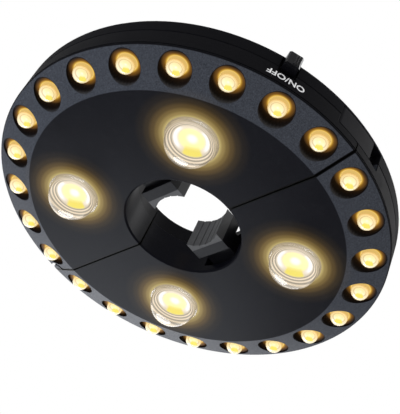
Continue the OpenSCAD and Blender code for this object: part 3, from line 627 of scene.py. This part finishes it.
def cell_sleeve(name):
    material, tree, shader = new_material(name)
    place = object_place(tree)
    x, y, _ = axes_of(tree, place)
    low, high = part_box("battery_cells")
    in_far_row = sum_of(tree, "GREATER_THAN", y, (low.y + high.y) / 2)
    direction = sum_of(tree, "SUBTRACT", 1.0, product(tree, in_far_row, 2.0))
    along = sum_of(tree, "DIVIDE", product(tree, x, direction), (high.x - low.x) / 2)
    part = sum_of(tree, "FRACT", sum_of(tree, "ADD", along, 4.0))
    scuffs = noise(tree, place, scale=420.0, detail=5.0)
    scuffed = ramp(tree, scuffs, [(0.62, grey(0)), (0.75, grey(0.3))])
    plug(tree, shader.inputs["Base Color"],
         mix_colours(tree, scuffed, ramp(tree, part, SLEEVE), grey(0.5)))
    shader.inputs["Metallic"].default_value = 0.6
    shader.inputs["Roughness"].default_value = 0.3
    raise_bumps(tree, shader, scuffs, 0.05, 0.05 * MM)
    return material


dress(cell_sleeve("cell sleeve"), "battery_cells")

# %% [markdown]
# ## Lenses
# Each lamp has a clear moulded lens. Under a lit lens nothing of the chip can be made out but its light:
# a white-hot middle, a yellow glow and the bright reflector round it. A real lens is a solid clear form
# on top of that pattern, and it bends the view so that the pattern fills the whole dome. So each lens
# is turned from a profile about its lamp's axis with the spin operator: its dome is clear plastic, and
# the flat base behind it carries the light.

# %% Turn a profile about a lamp's axis
SAME_POINT = 0.001 * MM


def turn_profile(form, profile, steps, lamp):
    points = [form.verts.new((lamp.x + r, lamp.y, z)) for r, z in profile]
    edges = [form.edges.new(pair) for pair in zip(points, points[1:])]
    bmesh.ops.spin(form, geom=points + edges, cent=(*lamp, 0), axis=(0, 0, 1), angle=math.tau,
                   steps=steps, use_merge=True, use_duplicate=False)


def arc_of_dome(radius, foot, tip, count):
    points = []
    for k in range(count):
        turn = math.pi / 2 * k / count
        points.append((radius * math.cos(turn), foot + (tip - foot) * math.sin(turn)))
    return points + [(0, tip)]


def lamp_places(count, pitch_radius):
    places = {"a": [], "b": []}
    for k in range(count):
        turn = (k + 0.5) * math.tau / count
        half = "b" if math.sin(turn) > 0 else "a"
        places[half].append(Vector((math.cos(turn), math.sin(turn))) * pitch_radius)
    return places


# %% [markdown]
# All lenses of a half are one piece. Every point of it keeps three numbers: how far it lies from its
# own lamp's middle, forwards and sideways, and how high. The materials read them, so one pattern serves
# every lamp. Forwards is the same fixed direction for all lamps, because all their chips are mounted
# the same way round. The faces at the base carry the light, and all others are clear.

# %% Put a lens at each of its places
LAMP_FACING = math.radians(129.84)
FORWARDS = Vector((math.cos(LAMP_FACING), math.sin(LAMP_FACING)))
SIDEWAYS = Vector((-math.sin(LAMP_FACING), math.cos(LAMP_FACING)))
BASE_TOLERANCE = 0.01 * MM
LENS_SHARP_DEGREES = 35


def lenses_of_half(name, profiles, steps, places, base_z, clear, light, half, node):
    form = bmesh.new()
    for lamp in places:
        for profile in profiles:
            turn_profile(form, profile, steps, lamp)
    bmesh.ops.remove_doubles(form, verts=form.verts, dist=SAME_POINT)
    own_place = form.verts.layers.float_vector.new("own_place")
    for point in form.verts:
        offset = min((point.co.xy - lamp for lamp in places), key=lambda way: way.length)
        point[own_place] = Vector((offset.dot(FORWARDS), offset.dot(SIDEWAYS), point.co.z))
    for face in form.faces:
        lit = face.calc_center_median().z > base_z - BASE_TOLERANCE
        face.material_index = int(lit)
    place_piece(name, form, [clear, light], LENS_SHARP_DEGREES, "half_" + half, node)


# %% [markdown]
# ## What a lit lens shows
# The light pattern is a colour ramp from the middle outwards: white-hot, pale yellow, then the cream
# of the moulding. On top of it the chip throws a yellow patch forwards, the two sides of its reflector
# show as white crescents, and the moulded steps show as fine dark rings. Each is a mask that is worked
# out from a point's own place under the lens, with the lens's radius as 1.

# %% Masks of the light pattern
def yellow_patch(tree, ahead, aside, away, start, end, half_width, widen):
    past_edge = sum_of(tree, "SUBTRACT", aside, product(tree, ahead, widen))
    return product(tree, fade(tree, ahead, start, start + 0.2), fade(tree, away, end, end - 0.05),
                   fade(tree, past_edge, half_width + 0.04, half_width - 0.04))


def side_crescents(tree, aside, away, inner, outer):
    at_side = fade(tree, sum_of(tree, "DIVIDE", aside, away), 0.55, 0.9)
    return product(tree, at_side, fade(tree, away, inner - 0.05, inner + 0.05),
                   fade(tree, away, outer + 0.03, outer - 0.03))


def moulded_rings(tree, away, first, spacing, depth):
    past_first = sum_of(tree, "SUBTRACT", away, first)
    wave = sum_of(tree, "SINE", product(tree, past_first, math.tau / spacing))
    return product(tree, sum_of(tree, "GREATER_THAN", away, first), wave, depth)


# %% Light under a lens
def own_place_of(tree):
    return add_node(tree, "Attribute", {"attribute_name": "own_place"}).outputs["Vector"]


def lamp_light(name, reach, stops, strength, yellow, patch, crescents=None, rings=None):
    material, tree, shader = new_material(name)
    x, y, _ = axes_of(tree, own_place_of(tree))
    ahead = sum_of(tree, "DIVIDE", x, reach)
    aside = sum_of(tree, "ABSOLUTE", sum_of(tree, "DIVIDE", y, reach))
    away = length_of(tree, ahead, aside)
    colour = ramp(tree, away, stops)
    colour = mix_colours(tree, yellow_patch(tree, ahead, aside, away, **patch), colour, yellow)
    if crescents is not None:
        colour = mix_colours(tree, side_crescents(tree, aside, away, **crescents), colour, grey(1))
    power = strength
    if rings is not None:
        dark = moulded_rings(tree, away, **rings)
        power = product(tree, sum_of(tree, "SUBTRACT", 1.0, dark), strength)
    plug(tree, shader.inputs["Emission Color"], colour)
    plug(tree, shader.inputs["Emission Strength"], power)
    plug(tree, shader.inputs["Base Color"], mix_colours(tree, 0.06, grey(0), colour))
    shader.inputs["Roughness"].default_value = 0.5
    shader.inputs["Specular IOR Level"].default_value = 0.1
    return material


# %% [markdown]
# The clear plastic lets all light through and bends it as acrylic does. Faint wisps in it vary its tone
# and polish, a weak warm glow stands for the light that is caught inside it, and a small lamp's case
# turns amber towards its edge, as in the photograph.

# %% Clear moulded plastic
ACRYLIC_IOR = 1.49
CAUGHT_LIGHT = (1.0, 0.85, 0.6, 1)


def clear_plastic(name, tint, glow, edge_tint=None, reach=1.0):
    material, tree, shader = new_material(name)
    wisps = noise(tree, object_place(tree), scale=240.0, detail=3.0)
    shade = shades(tree, wisps, tint, 0.97, 1.0)
    if edge_tint is not None:
        x, y, _ = axes_of(tree, own_place_of(tree))
        away = sum_of(tree, "DIVIDE", length_of(tree, x, y), reach)
        shade = mix_colours(tree, fade(tree, away, 0.5, 1.0), shade, edge_tint)
    plug(tree, shader.inputs["Base Color"], shade)
    plug(tree, shader.inputs["Roughness"], spread(tree, wisps, 0.0, 0.03))
    shader.inputs["Transmission Weight"].default_value = 1.0
    shader.inputs["IOR"].default_value = ACRYLIC_IOR
    shader.inputs["Emission Color"].default_value = CAUGHT_LIGHT
    shader.inputs["Emission Strength"].default_value = glow
    raise_bumps(tree, shader, wisps, 0.015, 0.05 * MM)
    return material


# %% [markdown]
# ## The large lenses
# A large lens has a rim with fine moulded steps and a dome in the middle. Its radius and its tip are
# read from the CAD lens, so the new one fills the same space. Each step is written as how many
# millimetres it lies inside the rim and how many it stands out of the face.

# %% Turn the large lenses
flood_low, flood_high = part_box("flood_lenses_a")
FLOOD_R = (flood_high.y - flood_low.y) / 2
FLOOD_TIP = flood_low.z
FLOOD_BASE = FACE_Z + 0.4 * MM
FLOOD_STEPS = [(0, 0.6), (0.15, 0.8), (0.4, 0.8), (0.4, 1.3), (0.8, 1.3), (0.8, 1.8)]
DOME_INSET, DOME_FOOT = 1.0, 1.85
FLOOD_SIDES, FLOOD_DOME_STEPS = 72, 20

flood_rim = [(FLOOD_R - inset * MM, FACE_Z - out * MM) for inset, out in FLOOD_STEPS]
flood_dome = arc_of_dome(FLOOD_R - DOME_INSET * MM, FACE_Z - DOME_FOOT * MM, FLOOD_TIP,
                         FLOOD_DOME_STEPS)
flood_profile = [(0, FLOOD_BASE), (FLOOD_R, FLOOD_BASE)] + flood_rim + flood_dome
flood_light = lamp_light(
    "large lamp light", FLOOD_R,
    [(0.0, (1, 1, 1)), (0.07, (1, 1, 0.85)), (0.18, (1, 0.97, 0.42)), (0.29, (0.93, 0.88, 0.42)),
     (0.35, (0.82, 0.72, 0.55)), (0.5, (0.58, 0.49, 0.37)), (0.7, (0.45, 0.37, 0.26)),
     (1.0, (0.28, 0.22, 0.13))],
    strength=1.05, yellow=(0.84, 0.7, 0.1),
    patch={"start": 0.14, "end": 0.48, "half_width": 0.11, "widen": 0.25},
    crescents={"inner": 0.35, "outer": 0.43},
    rings={"first": 0.46, "spacing": 0.06, "depth": 0.55})
flood_clear = clear_plastic("clear lens plastic", (0.97, 0.97, 0.97), glow=0.05)
for half, places in lamp_places(FLOOD_COUNT, FLOOD_PITCH_R).items():
    lenses_of_half("lit_flood_lenses_" + half, [flood_profile], FLOOD_SIDES, places, FLOOD_BASE,
                   flood_clear, flood_light, half, "flood_lenses_" + half)

# %% [markdown]
# ## The small lenses
# A small lamp is a round-nosed clear case in its well. It is made of two closed forms: a clear nose on
# a lit base, and a lit stem behind it, whose side shows beside the nose when the lamp is seen at a
# slant. So it looks lit all through, with an amber edge.

# %% Turn the small lenses
spot_low, spot_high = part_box("spot_lenses_a")
SPOT_R = spot_high.x - SPOT_PITCH_R * math.cos(math.pi / SPOT_COUNT)
SPOT_TIP, SPOT_FOOT = spot_low.z, spot_high.z
SPOT_MIDDLE = SPOT_TIP + SPOT_R
STEM_TOP = SPOT_MIDDLE + 0.02 * MM
SPOT_SIDES, SPOT_DOME_STEPS = 32, 12
print(f"large lens radius {FLOOD_R / MM:.1f} mm, small lens radius {SPOT_R / MM:.1f} mm")

nose = [(0, SPOT_MIDDLE)] + arc_of_dome(SPOT_R, SPOT_MIDDLE, SPOT_TIP, SPOT_DOME_STEPS)
stem = [(0, STEM_TOP), (SPOT_R, STEM_TOP), (SPOT_R, SPOT_FOOT), (0, SPOT_FOOT)]
spot_light = lamp_light(
    "small lamp light", SPOT_R,
    [(0.0, (1, 1, 0.85)), (0.15, (1, 0.97, 0.55)), (0.38, (1, 0.97, 0.66)), (0.46, (0.74, 0.6, 0.34)),
     (0.54, (0.98, 0.9, 0.64)), (0.72, (0.95, 0.8, 0.5)), (0.86, (0.86, 0.64, 0.3)),
     (1.0, (0.76, 0.5, 0.15))],
    strength=0.95, yellow=(0.88, 0.76, 0.07),
    patch={"start": 0.14, "end": 0.6, "half_width": 0.13, "widen": 0.25})
spot_clear = clear_plastic("clear lamp case", (1, 0.99, 0.95), glow=0.12,
                           edge_tint=(0.85, 0.58, 0.2), reach=SPOT_R)
for half, places in lamp_places(SPOT_COUNT, SPOT_PITCH_R).items():
    lenses_of_half("lit_spot_lenses_" + half, [nose, stem], SPOT_SIDES, places, SPOT_MIDDLE,
                   spot_clear, spot_light, half, "spot_lenses_" + half)

# %% [markdown]
# ## Printed words
# The rim says ON/OFF beside the push button, in white ink. Text starts as flat curves, so it is made a
# mesh first and then wrapped round the rim: across becomes an angle and up becomes a height. The words
# are read from the lamp side, so their tops point down.

# %% White ink
def white_ink(name):
    material, tree, shader = new_material(name)
    worn = noise(tree, object_place(tree), scale=1500.0, detail=4.0)
    plug(tree, shader.inputs["Base Color"],
         ramp(tree, worn, [(0.3, (0.55, 0.55, 0.56)), (0.55, (0.85, 0.85, 0.86))]))
    shader.inputs["Roughness"].default_value = 0.5
    raise_bumps(tree, shader, worn, 0.1, 0.02 * MM)
    return material


# %% Wrap the words round the rim
WORDS_ANGLE = math.radians(-24.6)
WORDS_Z = FACE_Z + 13.9 * MM
WORDS_LENGTH, WORDS_HEIGHT = 20.0 * MM, 3.6 * MM
INK_DEPTH = 0.05 * MM
BOLDER_BY = 0.018

words_curve = bpy.data.curves.new("switch words curve", "FONT")
words_curve.body = "ON/OFF"
words_curve.offset = BOLDER_BY
words_curve.extrude = 0.5
words_holder = bpy.data.objects.new("switch words curve", words_curve)
scene.collection.objects.link(words_holder)
bpy.context.view_layer.update()
words_mesh = bpy.data.meshes.new_from_object(words_holder)
bpy.data.objects.remove(words_holder)

xs = [v.co.x for v in words_mesh.vertices]
ys = [v.co.y for v in words_mesh.vertices]
middle_x, middle_y = (min(xs) + max(xs)) / 2, (min(ys) + max(ys)) / 2
across_scale = WORDS_LENGTH / (max(xs) - min(xs))
up_scale = WORDS_HEIGHT / (max(ys) - min(ys))
for v in words_mesh.vertices:
    angle = WORDS_ANGLE - (v.co.x - middle_x) * across_scale / RIM_R
    radius = RIM_R + v.co.z * 2 * INK_DEPTH
    v.co = (radius * math.cos(angle), radius * math.sin(angle), WORDS_Z - (v.co.y - middle_y) * up_scale)
words_mesh.materials.clear()
words_mesh.materials.append(white_ink("white ink"))
words = bpy.data.objects.new("switch_words", words_mesh)
scene.collection.objects.link(words)
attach(words, "half_a")
print(f"switch_words: {len(words_mesh.polygons)} faces")

# %% [markdown]
# ## The studio
# The picture was lit softly and set on white. Area lamps are used, because a broad source gives soft
# edges. The one on the hinge side, just below the light, does most: it makes the face fade from pale to
# dark. A broad one behind it adds a little everywhere, and a small one by the switch lifts the darkest
# part of the face, unmirrored, so that it draws no spot. The one above lights the rim wall on the right
# of the picture, and the back for the views from there. A last weak one adds a trace to that wall.

# %% Lamps
DAYLIGHT = (0.88, 0.93, 1)
COOL = (0.85, 0.92, 1)


def area_lamp(name, place, size, power, colour=(1, 1, 1), mirrored=True):
    data = bpy.data.lights.new(name, "AREA")
    data.shape = "DISK"
    data.size = size
    data.energy = power
    data.color = colour
    lamp = bpy.data.objects.new(name, data)
    towards_aim = (place - AIM).to_track_quat("Z", "Y").to_matrix().to_4x4()
    lamp.matrix_world = Matrix.Translation(place) @ towards_aim
    lamp.visible_glossy = mirrored
    lamp.visible_transmission = mirrored
    scene.collection.objects.link(lamp)
    print(f"{name}: {power} W at {tuple(round(v, 2) for v in place)}")


def from_camera(side, height, towards):
    return AIM + picture_right * side + picture_up * height + back * towards


def from_object(x, y, z):
    return AIM + Vector((x, y, z))


area_lamp("lamp by the hinge", from_object(-0.4, 0.2, -0.2), size=0.34, power=1.55, colour=DAYLIGHT)
area_lamp("lamp low behind the hinge", from_object(-0.6, 0.33, -0.05), size=1.0, power=2.6)
area_lamp("lamp behind the switch", from_object(-0.05, -0.3, -0.2), size=0.2, power=0.5, colour=COOL,
          mirrored=False)
area_lamp("lamp right", from_camera(0.5, -0.1, 0.15), size=0.25, power=0.1)
area_lamp("lamp above", from_object(0.2, 0.45, 0.7), size=0.5, power=3.0)

# %% [markdown]
# The world is plain white wherever the camera, a reflection or a look through clear plastic meets it,
# and a little darker where it lights the object. Light Path tells the two apart.

# %% White surroundings
SHOWN, LIGHTING = 1.0, 0.9

world = bpy.data.worlds.new("studio")
scene.world = world
world.use_nodes = True
sky = world.node_tree
sky.nodes.clear()
path = sky.nodes.new("ShaderNodeLightPath")
bounced = sum_of(sky, "MAXIMUM", path.outputs["Is Glossy Ray"], path.outputs["Is Transmission Ray"])
seen = sum_of(sky, "MAXIMUM", path.outputs["Is Camera Ray"], bounced)
backdrop = add_node(sky, "Background", Color=(1, 1, 1, 1), Strength=spread(sky, seen, LIGHTING, SHOWN))
sky_output = sky.nodes.new("ShaderNodeOutputWorld")
sky.links.new(backdrop.outputs[0], sky_output.inputs["Surface"])
print(f"world: {SHOWN} where it is seen, {LIGHTING} where it lights")

# %% [markdown]
# The floor lies far below the light, where the camera that looks up never sees it. Views from above
# look down on it. It is a plain pale sheet.

# %% A pale floor
FLOOR_Z = -1.25
FLOOR_REACH = 20.0

floor_form = bmesh.new()
bmesh.ops.create_grid(floor_form, x_segments=2, y_segments=2, size=FLOOR_REACH)
bmesh.ops.translate(floor_form, vec=(0, 0, FLOOR_Z), verts=floor_form.verts)
floor_mesh = bpy.data.meshes.new("floor")
floor_form.to_mesh(floor_mesh)
floor_form.free()
floor_material, _, floor_shader = new_material("pale floor")
floor_shader.inputs["Base Color"].default_value = (0.8, 0.8, 0.8, 1)
floor_shader.inputs["Roughness"].default_value = 0.7
floor_mesh.materials.append(floor_material)
floor = bpy.data.objects.new("floor", floor_mesh)
scene.collection.objects.link(floor)
print(f"floor: {max(v.co.x for v in floor_mesh.vertices):.0f} m each way, at z {FLOOR_Z} m")

scene.view_settings.view_transform = "Standard"

# %% Update the scene
bpy.context.view_layer.update()
